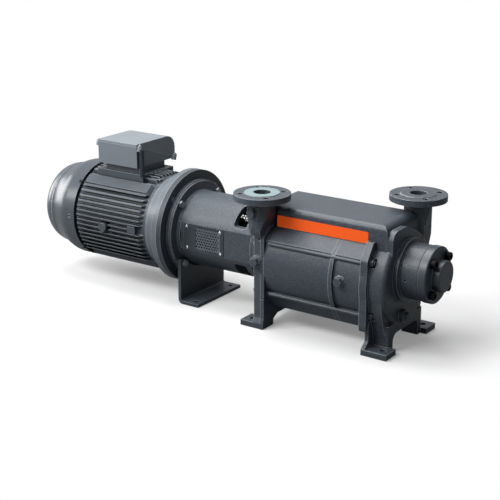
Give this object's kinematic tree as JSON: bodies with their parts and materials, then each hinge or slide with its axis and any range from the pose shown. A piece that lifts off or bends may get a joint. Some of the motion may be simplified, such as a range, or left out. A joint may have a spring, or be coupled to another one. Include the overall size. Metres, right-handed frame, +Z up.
{
  "type": "liquid ring vacuum pump",
  "caption": "Liquid ring vacuum pump with stages in line, flanged inlet and outlet, and a flange-mounted motor on a bell housing that guards the shaft coupling.",
  "frame": {"origin": "on the floor, midway between the four holes of the pump's own feet", "axes": "+X along the shaft from the motor to the pump's end cover, +Z up, -Y the inlet side"},
  "size_m": [1.396, 0.4089, 0.4711],
  "materials": {
    "casing_paint": "satin slate grey paint over cast iron",
    "motor_paint": "satin slate grey paint over cast iron",
    "painted_steel": "satin slate grey paint",
    "machined_steel": "turned and ground",
    "bearing_steel": "polished",
    "bronze": "cast bronze",
    "seal_ceramic": "lapped",
    "black_rubber": "matt",
    "black_steel": "black oxide",
    "zinc_steel": "zinc plated",
    "orange_strip": "smooth film, bare",
    "cast_hub": "turned",
    "red_elastomer": "matt",
    "core_steel": "laminated",
    "winding_copper": "varnished",
    "black_plastic": "moulded"
  },
  "bodies": {
    "pump_and_motor_body": {"drive_end_casing": "casing_paint", "far_end_casing": "casing_paint", "stage_casing_1": "casing_paint", "stage_casing_2": "casing_paint", "mid_plate": "casing_paint", "port_plate_1": "machined_steel", "port_plate_2": "machined_steel", "seal_seats": "seal_ceramic", "bearing_outer_rings": "bearing_steel", "pump_bearing_housing": "casing_paint", "bearing_housing_screws": "black_steel", "cover_seal_ring": "black_rubber", "end_cover": "casing_paint", "cover_screws": "black_steel", "top_chamber": "casing_paint", "name_strip": "orange_strip", "tie_rods": "painted_steel", "tie_rod_nuts": "painted_steel", "pipe_plugs": "painted_steel", "lantern": "casing_paint", "lantern_screws": "zinc_steel", "adapter_ring": "casing_paint", "lantern_bolts": "zinc_steel", "guard_plates": "painted_steel", "guard_screws": "zinc_steel", "support_bracket": "painted_steel", "motor_flange_shield": "motor_paint", "motor_flange_bolts": "zinc_steel", "motor_frame": "motor_paint", "motor_rear_shield": "motor_paint", "stator_core": "core_steel", "stator_windings": "winding_copper", "fan_cowl": "motor_paint", "cowl_screws": "black_steel", "terminal_box": "motor_paint", "terminal_box_lid": "motor_paint", "terminal_block": "black_plastic", "terminal_box_screws": "zinc_steel", "cable_entry_plugs": "black_plastic", "pump_bearing_balls": "bearing_steel", "motor_bearing_balls": "bearing_steel"},
    "pump_rotor": {"impeller_1": "bronze", "impeller_2": "bronze", "pump_shaft": "machined_steel", "pump_key": "machined_steel", "seal_rings": "black_rubber", "pump_bearing_inner_rings": "bearing_steel", "shaft_nut": "machined_steel", "coupling_pump_hub": "cast_hub", "coupling_spider": "red_elastomer"},
    "motor_rotor": {"rotor_core": "core_steel", "motor_shaft": "machined_steel", "motor_key": "machined_steel", "motor_bearing_inner_rings": "bearing_steel", "fan": "black_plastic", "coupling_motor_hub": "cast_hub"}
  },
  "joints": [
    {"name": "pump_shaft_turn", "type": "hinge", "parent": "pump_and_motor_body", "child": "pump_rotor", "pos_m": [0, 0, 0.22], "axis": [1, 0, 0], "continuous": true},
    {"name": "motor_shaft_turn", "type": "hinge", "parent": "pump_and_motor_body", "child": "motor_rotor", "pos_m": [-0.7, 0, 0.22], "axis": [1, 0, 0], "continuous": true}
  ],
  "couplings": [
    {"joint": "pump_shaft_turn", "follows": "motor_shaft_turn", "ratio": 1}
  ]
}
